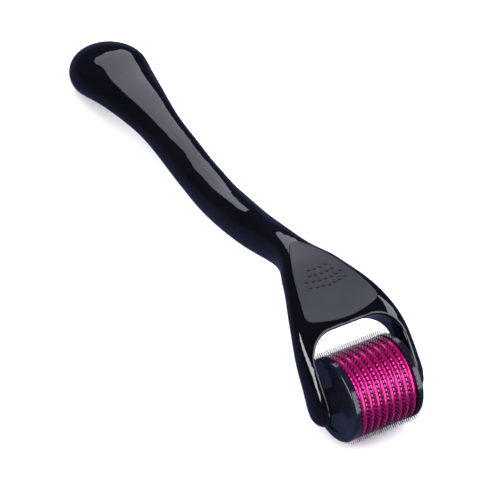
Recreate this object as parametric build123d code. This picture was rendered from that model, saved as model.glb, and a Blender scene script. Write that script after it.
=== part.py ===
from build123d import *
import math
import os

# Derma roller: a curved two-shell handle with a fork, and a drum of nine needle
# discs that turns on a steel pin between the fork arms.
#
# Design frame (millimetres): origin between the fork tips, +X along the axle, +Y from
# the drum towards the tail of the handle, +Z out of the thumb side.  Every part is
# moved to its resting place (drum and tail both on the ground) when it is saved.

BASE = (Align.CENTER, Align.CENTER, Align.MIN)     # a cylinder that stands on its plane
CLEAR = 50.0                  # longer than any section of the roller, for cuts right through

# ---------------------------------------------------------------- drum
AXLE_Y, AXLE_Z = 1.85, -0.45
ROWS = 9                      # needle discs
ROW_PITCH = 2.05
DISC_THICKNESS = 0.25
TEETH = 60                    # needles on one disc
TOOTH_TIP_R = 12.0
TOOTH_ROOT_R = 10.3
TOOTH_BASE = 0.46             # width of a needle where it leaves the disc
TOOTH_FLAT = 0.06             # width of its tip
RIB_R = 10.85                 # crown of a spacer ring
RIB_EDGE = 0.5                # how far the ring's rim rounds down at its edges
CORE_R = 6.0                  # keyed hub tube
CORE_FIT = 0.03
KEY_WIDTH = 2.0
KEY_HEIGHT = 0.9
CAP_R = 10.9
CAP_OUTER_X = 10.1
CAP_SHOULDER = 0.6
CAP_DISH_R = 8.6              # shallow recess in the outer face of an end cap
CAP_DISH = 0.35
BOSS_R = 3.3                  # thrust boss that keeps the cap off the fork arm
BOSS_CHAMFER = 0.3
PIN_R = 1.25
PIN_CHAMFER = 0.25
PIN_FIT = 0.01                # press fit of the pin in core and caps

# ---------------------------------------------------------------- fork and handle
ARM_INNER_X = 12.7
BORE_CLEARANCE = 0.05
BORE_DEPTH = 2.0
THRUST_GAP = 0.12
PIN_END_PLAY = 0.1
ARM_EDGE = 0.6                # rounding of the inner edges of the fork
WINDOW_Y, WINDOW_Z = 10.9, 14.0     # front edge of the bridge across the fork
WINDOW_LEAN = 40.0            # degrees the window leans back
WINDOW_CORNER = 7.2

# Middle line of the body from tail to fork tips:
# (y, z, half width, half thickness, squareness of the section: 0.55 is an ellipse)
STATIONS = [
    (129.3, 4.20, 10.75, 6.20, 0.62),
    (123.0, 4.95, 9.70, 5.00, 0.62),
    (116.3, 5.60, 8.30, 4.25, 0.62),
    (110.0, 5.90, 7.00, 3.90, 0.66),
    (102.0, 5.80, 5.80, 3.80, 0.66),
    (93.0, 5.30, 5.45, 4.20, 0.66),
    (84.0, 4.60, 5.40, 4.40, 0.66),
    (76.0, 4.50, 5.45, 4.60, 0.66),
    (68.0, 5.30, 5.45, 4.70, 0.66),
    (60.0, 6.95, 5.30, 4.70, 0.66),
    (52.0, 9.20, 5.00, 4.60, 0.66),
    (45.0, 11.70, 4.60, 4.40, 0.69),
    (39.0, 13.50, 4.80, 4.10, 0.71),
    (33.0, 14.70, 6.80, 3.75, 0.75),
    (27.0, 14.70, 9.40, 3.65, 0.78),
    (21.5, 13.80, 11.80, 3.75, 0.81),
    (16.3, 12.00, 13.80, 4.00, 0.81),
    (12.0, 9.40, 15.10, 4.60, 0.81),
    (8.3, 6.20, 15.75, 5.10, 0.81),
    (4.8, 2.60, 15.95, 5.30, 0.81),
    (1.2, -2.00, 15.95, 5.40, 0.81),
]
LAST = len(STATIONS) - 1
WALL = 1.4

# thumb plate: a rounded triangle with bowed sides, let into the front shell
PLATE_THICKNESS = 1.0
PLATE_PROUD = 0.2
PLATE_GAP = 0.12
PLATE_SIDE_CENTRE = (-65.2, -2.3)   # centre of the bow of its right side
PLATE_HEIGHTS = (8.0, 25.0)   # heights between which the plate and its recess lie
POCKET_HEIGHTS = (14.0, 25.0)
PLATE_APEX_Y = 40.2
PLATE_FOOT_Y = 12.5
PLATE_BASE_R = 25.0
PLATE_CORNER_R = 2.0
PLATE_LEDGE = 1.8             # width of the ledge that carries the plate
GRIP_ROWS = (4, 5, 7, 7)      # dimples in each row, apex side first
GRIP_TOP_Y = 27.4
GRIP_PITCH = (1.65, 1.87)     # spacing along a row and between rows
GRIP_SWEEP = 0.035            # how fast the ends of a row sweep back
GRIP_BALL_R, GRIP_DEPTH = 0.62, 0.38

# the two shells
CAVITY_LAST = 15              # the hollow ends at this station
SEAM_DEPTH = 0.45             # seam below the middle line, as a share of half thickness
SEAM_LAST = 10                # last station the seam follows before it runs out
SEAM_TAIL = 14.0              # how far the seam runs on straight past the first station
SEAM_END = (43.5, 40.5)       # Y where the seam turns and where it leaves the back
PEG_STATIONS = (2, 6, 9)      # where a peg of the back shell enters a boss of the front one
PEG_R, PEG_HOLE_R, BOSS_WALL_R = 0.8, 0.88, 1.9
PEG_REACH = 1.5               # how far a peg stands past the seam
PEG_END_GAP = 0.2
PEG_ROOT = 10.0               # peg and boss start this far out and are cut off at the shell

# resting place
REST_TILT = 4.543
REST_SHIFT_Y = -64.827
REST_LIFT = 12.595

REST = Pos(0, REST_SHIFT_Y, REST_LIFT) * Rot(-REST_TILT, 0, 0)

os.makedirs("parts", exist_ok=True)


def save(shape, name):
    """Write one part in its resting place."""
    shape = REST * shape
    solids = shape.solids()
    body = solids[0] if len(solids) == 1 else Compound(children=list(solids))
    body.label = name
    export_step(body, os.path.join("parts", name + ".step"))
    box = body.bounding_box()
    print(name, len(solids), "solid(s)", round(shape.volume, 2), "mm3",
          [round(v, 2) for v in (*box.min, *box.max)])


# ================================================================ body of the handle
def heading(i):
    """Unit direction of the middle line at a station, tail to fork."""
    before, after = STATIONS[max(i - 1, 0)], STATIONS[min(i + 1, LAST)]
    dy, dz = after[0] - before[0], after[1] - before[1]
    length = math.hypot(dy, dz)
    return dy / length, dz / length


def quarters(i, inset=0.0):
    """The rounded section at a station as four curves, from +X round by the thumb side."""
    y, z, half_w, half_t, square = STATIONS[i]
    dy, dz = heading(i)
    w, t = half_w - inset, half_t - inset

    def at(across, up):
        return Vector(across, y + up * dz, z - up * dy)

    corners = [((w, 0), (w, square * t), (square * w, t), (0, t)),
               ((0, t), (-square * w, t), (-w, square * t), (-w, 0)),
               ((-w, 0), (-w, -square * t), (-square * w, -t), (0, -t)),
               ((0, -t), (square * w, -t), (w, -square * t), (w, 0))]
    return [Edge.make_bezier(*[at(*p) for p in corner]) for corner in corners]


def section(i, inset=0.0):
    return Face(Wire(quarters(i, inset)))


def half_section(i, inset, which):
    """Half of a section closed by a straight line: 'x' is the +X half, 'up' the thumb half."""
    e = quarters(i, inset)
    pair = [e[3], e[0]] if which == "x" else [e[0], e[1]]
    start, end = pair[0] @ 0, pair[1] @ 1
    return Face(Wire([*pair, Edge.make_line(end, start)]))


def body(first, last, inset=0.0):
    """Closed body between two stations, rounded off where it reaches the tail or the fork."""
    stack = loft([section(i, inset) for i in range(first, last + 1)])
    faces = stack.faces().filter_by(GeomType.BSPLINE)
    flats = stack.faces().filter_by(GeomType.PLANE).sort_by(Axis.Y)
    if last == LAST:
        y, z = STATIONS[last][:2]
        turned = revolve(half_section(last, inset, "up"), Axis((0, y, z), (1, 0, 0)), 180)
        faces += turned.faces().filter_by(GeomType.PLANE, reverse=True)
    else:
        faces.append(flats[0])
    if first == 0:
        y, z = STATIONS[0][:2]
        dy, dz = heading(0)
        turned = revolve(half_section(0, inset, "x"), Axis((0, y, z), (0, dz, -dy)), 180)
        faces += turned.faces().filter_by(GeomType.PLANE, reverse=True)
    else:
        faces.append(flats[-1])
    return Solid(Shell(faces))


def prism(face, low, high):
    """Upright block with the outline of a face drawn on the ground plane."""
    return extrude(Pos(0, 0, low) * face, high - low)


def plate_outline(grow=0.0):
    """Bowed triangle: where a disc for each side and one for the base overlap."""
    x, y = PLATE_SIDE_CENTRE
    side_r = math.hypot(x, y - PLATE_APEX_Y) + grow
    sides = (Pos(x, y) * Circle(side_r)) & (Pos(-x, y) * Circle(side_r))
    base = Pos(0, PLATE_FOOT_Y + PLATE_BASE_R) * Circle(PLATE_BASE_R + grow)
    outline = sides & base
    return fillet(outline.vertices(), PLATE_CORNER_R + grow)


def off_middle(i, up):
    """Point of the middle plane at a station, up towards the thumb side."""
    y, z = STATIONS[i][:2]
    dy, dz = heading(i)
    return y + up * dz, z - up * dy


def above_ledge():
    """Everything above the ledge that carries the thumb plate."""
    points = [off_middle(i, STATIONS[i][3] - PLATE_THICKNESS) for i in range(10, LAST - 1)]
    curve = Edge.make_spline([Vector(0, y, z) for y, z in points])
    high_fork, high_tail = Vector(0, points[-1][0], CLEAR), Vector(0, points[0][0], CLEAR)
    outline = Wire([curve, *Polyline(curve @ 1, high_fork, high_tail, curve @ 0).edges()])
    return extrude(Face(outline), CLEAR / 2, dir=(1, 0, 0), both=True)


def seam_block(lift=0.0):
    """Everything behind the seam between the two shells, raised by lift."""
    points = [off_middle(i, -SEAM_DEPTH * STATIONS[i][3]) for i in range(SEAM_LAST + 1)]
    first, second = points[0], points[1]
    slope = (first[1] - second[1]) / (first[0] - second[0])
    points.insert(0, (first[0] + SEAM_TAIL, first[1] + SEAM_TAIL * slope))
    curve = Edge.make_spline([Vector(0, y, z + lift) for y, z in points])
    last_y, last_z = points[-1]
    dy, dz = heading(SEAM_LAST)
    turn = Vector(0, SEAM_END[0], last_z + lift + (SEAM_END[0] - last_y) * dz / dy)
    leave = Vector(0, SEAM_END[1], -CLEAR)
    far = Vector(0, points[0][0], -CLEAR)
    outline = Wire([curve, *Polyline(curve @ 1, turn, leave, far, curve @ 0).edges()])
    return extrude(Face(outline), CLEAR / 2, dir=(1, 0, 0), both=True)


# ================================================================ drum
def along_x(shape, x):
    """Turn a shape modelled along +Z so that it runs along the axle from x."""
    return Pos(x, AXLE_Y, AXLE_Z) * Rot(0, 90, 0) * shape


def row_x(row):
    """X of the middle of a needle disc."""
    return (row - (ROWS - 1) / 2) * ROW_PITCH


def core_profile(fit=0.0):
    """Round hub with two keys."""
    key = Rectangle(2 * (CORE_R + KEY_HEIGHT + fit), KEY_WIDTH + 2 * fit)
    return Circle(CORE_R + fit) + key


def needle_disc(row):
    """Thin disc with pointed teeth; every other disc is turned half a tooth."""
    turn = (row % 2) * math.pi / TEETH
    half_base = TOOTH_BASE / 2 / TOOTH_ROOT_R
    half_tip = TOOTH_FLAT / 2 / TOOTH_TIP_R
    tooth = ((-half_base, TOOTH_ROOT_R), (-half_tip, TOOTH_TIP_R),
             (half_tip, TOOTH_TIP_R), (half_base, TOOTH_ROOT_R))
    points = []
    for k in range(TEETH):
        middle = turn + 2 * math.pi * k / TEETH
        for angle, radius in tooth:
            points.append((radius * math.cos(middle + angle), radius * math.sin(middle + angle)))
    blank = make_face(Polyline(*points, close=True)) - core_profile(CORE_FIT)
    return along_x(extrude(blank, DISC_THICKNESS), row_x(row) - DISC_THICKNESS / 2)


def spacer_ring(row):
    """Ring with a crowned rim between needle disc row and the next one."""
    width = ROW_PITCH - DISC_THICKNESS
    rim = RIB_R - RIB_EDGE
    half = Polyline((0, 0), (rim, 0)) + ThreePointArc((rim, 0), (RIB_R, width / 2), (rim, width))
    half += Polyline((rim, width), (0, width), (0, 0))
    ring = revolve(Plane.XZ * make_face(half), Axis.Z, 360)
    ring -= extrude(core_profile(CORE_FIT), width)
    return along_x(ring, row_x(row) + DISC_THICKNESS / 2)


def end_cap():
    """Right-hand cap: rim with a rounded shoulder, dished face, thrust boss, pin hole."""
    inner_x = row_x(ROWS - 1) + DISC_THICKNESS / 2
    width = CAP_OUTER_X - inner_x
    cap = Cylinder(CAP_R, width, align=BASE)
    cap = fillet(cap.edges().group_by(Axis.Z)[-1], CAP_SHOULDER)
    cap -= Pos(0, 0, width - CAP_DISH) * Cylinder(CAP_DISH_R, CAP_DISH + 1, align=BASE)
    boss_length = ARM_INNER_X - THRUST_GAP - inner_x
    boss = Cylinder(BOSS_R, boss_length, align=BASE)
    boss = chamfer(boss.edges().group_by(Axis.Z)[-1], BOSS_CHAMFER)
    cap += boss
    cap -= Cylinder(PIN_R + PIN_FIT, CLEAR, align=BASE)
    return along_x(cap, inner_x)


def axle_pin():
    """Plain steel pin, chamfered at both ends."""
    length = 2 * (ARM_INNER_X + BORE_DEPTH - PIN_END_PLAY)
    pin = Cylinder(PIN_R, length)
    return along_x(chamfer(pin.edges().filter_by(GeomType.CIRCLE), PIN_CHAMFER), 0)


def roller_core():
    """Keyed tube that the discs and rings are threaded on."""
    length = row_x(ROWS - 1) - row_x(0) + DISC_THICKNESS
    tube = extrude(core_profile(), length) - Cylinder(PIN_R + PIN_FIT, 2 * CLEAR)
    return along_x(tube, -length / 2)


def upright(i):
    """Plane at a station with its Z out of the thumb side."""
    y, z = STATIONS[i][:2]
    dy, dz = heading(i)
    return Plane(origin=(0, y, z), x_dir=(1, 0, 0), z_dir=(0, dz, -dy))


def surface_above(shape, x, y):
    """Height of the top of a shape over a point of the ground plane."""
    plumb = Edge.make_line((x, y, 0), (x, y, CLEAR))
    return max(v.Z for v in plumb.intersect(shape).vertices())


save(roller_core(), "roller_core")
save(axle_pin(), "axle_pin")
for row in range(ROWS):
    save(needle_disc(row), f"needle_disc_{row + 1}")
for row in range(ROWS - 1):
    save(spacer_ring(row), f"spacer_ring_{row + 1}")
save(end_cap(), "right_end_cap")
save(mirror(end_cap(), Plane.YZ), "left_end_cap")

# ================================================================ handle
outer = body(0, LAST)
ledge = above_ledge()
cavity = body(0, CAVITY_LAST, WALL)
behind = seam_block()

lean = math.radians(WINDOW_LEAN)
window_plane = Plane(origin=(0, WINDOW_Y, WINDOW_Z), x_dir=(1, 0, 0),
                     z_dir=(0, -math.sin(lean), math.cos(lean)))
window_shape = Pos(0, -CLEAR / 2) * RectangleRounded(2 * ARM_INNER_X, CLEAR, WINDOW_CORNER)
fork_window = extrude(window_plane * window_shape, CLEAR, both=True)

forked = outer - fork_window
arm_edges = [e for e in forked.edges() if abs(abs(e.center().X) - ARM_INNER_X) < 0.01]
hollow = fillet(arm_edges, ARM_EDGE) - cavity    # the rounding runs on round the whole window
recess = prism(plate_outline(PLATE_GAP), *PLATE_HEIGHTS) & ledge
pocket = prism(plate_outline(-PLATE_LEDGE), *POCKET_HEIGHTS)
bore = along_x(Cylinder(PIN_R + BORE_CLEARANCE, 2 * (ARM_INNER_X + BORE_DEPTH)), 0)

front = hollow - behind - recess - pocket - bore
back = hollow & behind
for i in PEG_STATIONS:
    seam_z = -SEAM_DEPTH * STATIONS[i][3]
    at_seam = upright(i) * Pos(0, 0, seam_z)
    boss = at_seam * Cylinder(BOSS_WALL_R, PEG_ROOT, align=BASE)
    hole = at_seam * Cylinder(PEG_HOLE_R, PEG_REACH + PEG_END_GAP, align=BASE)
    peg = at_seam * (Pos(0, 0, -PEG_ROOT) * Cylinder(PEG_R, PEG_ROOT + PEG_REACH, align=BASE))
    front += (boss & outer) - behind
    front -= hole
    back += peg & outer

proud = body(0, LAST, -PLATE_PROUD)
plate = (prism(plate_outline(), *PLATE_HEIGHTS) & ledge) & proud
dimples = []
for row, count in enumerate(GRIP_ROWS):
    for k in range(count):
        x = (k - (count - 1) / 2) * GRIP_PITCH[0]
        y = GRIP_TOP_Y - row * GRIP_PITCH[1] + GRIP_SWEEP * x * x
        z = surface_above(proud, x, y) + GRIP_BALL_R - GRIP_DEPTH
        dimples.append(Pos(x, y, z) * Sphere(GRIP_BALL_R))
plate -= dimples
save(front, "handle_front_shell")
save(back, "handle_back_shell")
save(plate, "thumb_plate")
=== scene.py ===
"""Looks of the derma roller: materials, studio light and the camera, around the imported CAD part."""

import math

import bpy
from mathutils import Euler, Matrix, Vector

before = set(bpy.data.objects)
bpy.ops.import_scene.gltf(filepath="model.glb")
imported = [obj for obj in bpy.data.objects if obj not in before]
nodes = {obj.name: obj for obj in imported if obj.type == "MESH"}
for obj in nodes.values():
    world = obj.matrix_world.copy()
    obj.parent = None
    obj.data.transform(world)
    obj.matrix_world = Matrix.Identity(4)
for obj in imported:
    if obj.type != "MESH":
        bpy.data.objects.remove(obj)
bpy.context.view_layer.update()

# ---------------------------------------------------------------- small helpers
MIX_COLOUR_INPUTS, MIX_COLOUR_OUTPUT = (0, 6, 7), 2     # the colour sockets of a Mix node


def linear(hex_colour):
    """sRGB hex to the linear colour that a node socket takes."""
    channels = [int(hex_colour[i:i + 2], 16) / 255 for i in (0, 2, 4)]
    return (*[c / 12.92 if c <= 0.04045 else ((c + 0.055) / 1.055) ** 2.4 for c in channels], 1.0)


class Material:
    """A node material built step by step, with object coordinates in metres."""

    def __init__(self, name, roughness, ior=1.5, metallic=0.0):
        self.material = bpy.data.materials.new(name)
        self.material.use_nodes = True
        self.tree = self.material.node_tree
        self.shader = self.tree.nodes["Principled BSDF"]
        self.shader.inputs["Roughness"].default_value = roughness
        self.shader.inputs["IOR"].default_value = ior
        self.shader.inputs["Metallic"].default_value = metallic
        self.coords = self.add("ShaderNodeTexCoord").outputs["Object"]

    def add(self, kind, **settings):
        node = self.tree.nodes.new(kind)
        for key, value in settings.items():
            setattr(node, key, value)
        return node

    def link(self, output, target):
        self.tree.links.new(output, target)

    def noise(self, scale, detail=3.0, stretch=None):
        node = self.add("ShaderNodeTexNoise")
        node.inputs["Scale"].default_value = scale
        node.inputs["Detail"].default_value = detail
        source = self.coords
        if stretch:
            mapping = self.add("ShaderNodeMapping")
            mapping.inputs["Scale"].default_value = stretch
            self.link(source, mapping.inputs["Vector"])
            source = mapping.outputs["Vector"]
        self.link(source, node.inputs["Vector"])
        return node.outputs["Fac"]

    def ramp(self, factor, stops):
        node = self.add("ShaderNodeValToRGB")
        elements = node.color_ramp.elements
        while len(elements) < len(stops):
            elements.new(0.5)
        for element, (place, colour) in zip(elements, stops):
            element.position = place
            element.color = colour
        self.link(factor, node.inputs["Fac"])
        return node.outputs["Color"]

    def spread(self, factor, low, high):
        """Maps a 0 to 1 factor onto low to high."""
        node = self.add("ShaderNodeMapRange")
        node.inputs["To Min"].default_value = low
        node.inputs["To Max"].default_value = high
        self.link(factor, node.inputs["Value"])
        return node.outputs["Result"]

    def bump(self, *layers):
        """Stacks bump layers given as (factor, strength, distance in metres)."""
        normal = None
        for factor, strength, distance in layers:
            node = self.add("ShaderNodeBump")
            node.inputs["Strength"].default_value = strength
            node.inputs["Distance"].default_value = distance
            self.link(factor, node.inputs["Height"])
            if normal:
                self.link(normal, node.inputs["Normal"])
            normal = node.outputs["Normal"]
        self.link(normal, self.shader.inputs["Normal"])

    def painted_hollow_shade(self, colour, reach):
        """Paints shade into a colour where the surface closes in on itself within reach, in metres."""
        openness = self.add("ShaderNodeAmbientOcclusion", samples=8)
        openness.inputs["Distance"].default_value = reach
        shade = self.ramp(openness.outputs["AO"], [(0.62, (0.03, 0.03, 0.03, 1)), (0.96, (1, 1, 1, 1))])
        mix = self.add("ShaderNodeMix", data_type="RGBA", blend_type="MULTIPLY")
        factor, first, second = (mix.inputs[i] for i in MIX_COLOUR_INPUTS)
        factor.default_value = 1.0
        self.link(colour, first)
        self.link(shade, second)
        return mix.outputs[MIX_COLOUR_OUTPUT]

    def set(self, name, output):
        self.link(output, self.shader.inputs[name])

    def put_on(self, *names):
        for name in names:
            mesh = nodes[name].data
            mesh.materials.clear()
            mesh.materials.append(self.material)


def named(start):
    """Names of the CAD pieces that begin with some text."""
    return [name for name in nodes if name.startswith(start)]


# ---------------------------------------------------------------- materials
def gloss_black(name, dark, light, roughness, ior):
    """Moulded gloss plastic, with a faint ripple of the mould and a very fine grain."""
    m = Material(name, roughness[0], ior=ior)
    m.shader.inputs["Specular Tint"].default_value = (0.90, 0.91, 1.0, 1.0)
    m.set("Base Color", m.ramp(m.noise(60), [(0.3, dark), (0.7, light)]))
    m.set("Roughness", m.spread(m.noise(220), *roughness))
    m.bump((m.noise(90, 2), 0.02, 0.0002), (m.noise(1800, 2), 0.012, 0.00002))
    return m


def steel(name, dark, light, roughness, stretch):
    """Bare steel with drawn or etched streaks."""
    m = Material(name, roughness[0], metallic=1.0)
    m.set("Base Color", m.ramp(m.noise(500), [(0.3, dark), (0.7, light)]))
    streaks = m.noise(900, 3, stretch)
    m.set("Roughness", m.spread(streaks, *roughness))
    m.bump((streaks, 0.1, 0.00002))
    return m


handle_black = gloss_black("handle_black", linear("030304"), linear("060609"), (0.02, 0.05), 1.46)
handle_black.put_on("handle_front_shell", "handle_back_shell")

cap_black = gloss_black("cap_black", linear("0a0b12"), linear("10121c"), (0.10, 0.18), 1.5)
cap_black.put_on("left_end_cap", "right_end_cap")

plate_grey = Material("plate_grey", 0.42, ior=1.45)
grain = plate_grey.noise(2600, 2)
tone = plate_grey.ramp(plate_grey.noise(140), [(0.3, linear("212328")), (0.7, linear("26282e"))])
# painted shade darkens the dimples and other hollows of the plate
plate_grey.set("Base Color", plate_grey.painted_hollow_shade(tone, 0.0014))
plate_grey.set("Roughness", plate_grey.spread(grain, 0.42, 0.52))
plate_grey.bump((grain, 0.10, 0.00003))
plate_grey.put_on("thumb_plate")

ring_magenta = Material("drum_magenta", 0.2, ior=1.5, metallic=0.7)
tone = ring_magenta.ramp(ring_magenta.noise(350), [(0.3, linear("a80c62")), (0.7, linear("bd1270"))])
ring_magenta.set("Base Color", tone)
ring_magenta.set("Roughness", ring_magenta.spread(ring_magenta.noise(900), 0.14, 0.26))
ring_magenta.bump((ring_magenta.noise(1500, 2), 0.05, 0.00003))
ring_magenta.put_on(*named("spacer_ring"))

core_magenta = Material("core_magenta", 0.4)
tone = core_magenta.ramp(core_magenta.noise(200), [(0.3, linear("900f50")), (0.7, linear("a0185c"))])
core_magenta.set("Base Color", tone)
core_magenta.bump((core_magenta.noise(1500, 2), 0.05, 0.00003))
core_magenta.put_on("roller_core")

needle_steel = steel("needle_steel", linear("55525a"), linear("706d74"), (0.18, 0.32), (1, 6, 6))
needle_steel.put_on(*named("needle_disc"))

pin_steel = steel("pin_steel", linear("97979b"), linear("b0b0b4"), (0.2, 0.35), (0.2, 8, 8))
pin_steel.put_on("axle_pin")

# ---------------------------------------------------------------- floor and light
FLOOR_SIZE = 6.0
FLOOR_Z = -0.0002                   # a hair under the part, so that the faces don't meet
PART_MIDDLE = (0, 0, 0.01)          # the point that the far panels face

floor_material = Material("studio_floor", 0.6)
tone = floor_material.ramp(floor_material.noise(3), [(0.3, (0.86, 0.86, 0.86, 1)),
                                                     (0.7, (0.90, 0.90, 0.90, 1))])
floor_material.set("Base Color", tone)
bpy.ops.mesh.primitive_plane_add(size=FLOOR_SIZE, location=(0, 0, FLOOR_Z))
floor = bpy.context.object
floor.name = "studio_floor"
floor.data.materials.append(floor_material.material)
floor.visible_glossy = False        # gloss mirrors the dark studio instead, so its edges stay dark


def panel(name, towards, across, width, height, radiance, distance=1.0, aim=PART_MIDDLE,
          colour=(1, 1, 1), shape="RECTANGLE"):
    """A flat light of even brightness that faces a point, with its width along one direction."""
    z = Vector(towards).normalized()
    x = Vector(across)
    x = (x - x.dot(z) * z).normalized()
    y = z.cross(x)
    light = bpy.data.lights.new(name, "AREA")
    light.shape = shape
    light.size, light.size_y = width, height
    light.energy = radiance * math.pi * width * height
    light.color = colour
    lamp = bpy.data.objects.new(name, light)
    bpy.context.scene.collection.objects.link(lamp)
    place = Matrix.Translation(Vector(aim) + z * distance)
    lamp.matrix_world = place @ Matrix((x, y, z)).transposed().to_4x4()
    return lamp


# a near softbox behind and to the right gives the long drop of light on the handle
panel("softbox", (0.411, 0.658, 0.625), (0.817, 0.0, -0.577), 0.25, 0.172, 2.1, distance=0.3,
      aim=(0, 0.06, 0.01), colour=(0.97, 0.93, 1.0), shape="ELLIPSE")
# strips at the sides draw the light bands down the fork arms
panel("strip_left", (-0.74, -0.22, 0.62), (0.05, 1.0, 0.0), 0.9, 0.30, 14.0)
panel("panel_right", (0.76, -0.30, 0.50), (0.3, 1.0, 0.0), 0.9, 0.35, 6.0, colour=(0.86, 0.86, 1.0))
# the front panel only shows in gloss, the overhead one only lights matt surfaces
front = panel("front", (0.44, -0.80, 0.42), (0.88, 0.43, 0.0), 0.8, 0.9, 4.5)
front.visible_diffuse = False
overhead = panel("overhead", (0, 0, 1), (1, 0, 0), 2.4, 2.4, 3.6, distance=1.6)
overhead.visible_glossy = False

# the studio around: dim and blue, a little lighter below the horizon
BELOW_HORIZON = (0.10, 0.12, 0.26, 1)
ABOVE_HORIZON = (0.045, 0.052, 0.09, 1)
world = bpy.data.worlds.new("studio")
bpy.context.scene.world = world
world.use_nodes = True
world_nodes, world_links = world.node_tree.nodes, world.node_tree.links
direction = world_nodes.new("ShaderNodeTexCoord")
height = world_nodes.new("ShaderNodeSeparateXYZ")
fade = world_nodes.new("ShaderNodeValToRGB")
for element, (place, colour) in zip(fade.color_ramp.elements,
                                    ((0.0, BELOW_HORIZON), (0.04, ABOVE_HORIZON))):
    element.position = place
    element.color = colour
world_links.new(direction.outputs["Generated"], height.inputs["Vector"])
world_links.new(height.outputs["Z"], fade.inputs["Fac"])
world_links.new(fade.outputs["Color"], world_nodes["Background"].inputs["Color"])
world_nodes["Background"].inputs["Strength"].default_value = 1.0

# ---------------------------------------------------------------- camera
CAMERA_PLACE = (-0.34931, -0.44658, 0.60490)
CAMERA_TURN = (42.747, -6.846, -31.233)     # degrees about X, Y and Z

camera_data = bpy.data.cameras.new("camera")
camera_data.sensor_width = 36.0
camera_data.lens = 230.4
camera = bpy.data.objects.new("camera", camera_data)
bpy.context.scene.collection.objects.link(camera)
camera.location = CAMERA_PLACE
camera.rotation_euler = Euler([math.radians(angle) for angle in CAMERA_TURN], "XYZ")
bpy.context.scene.camera = camera
bpy.context.scene.view_settings.view_transform = "Standard"
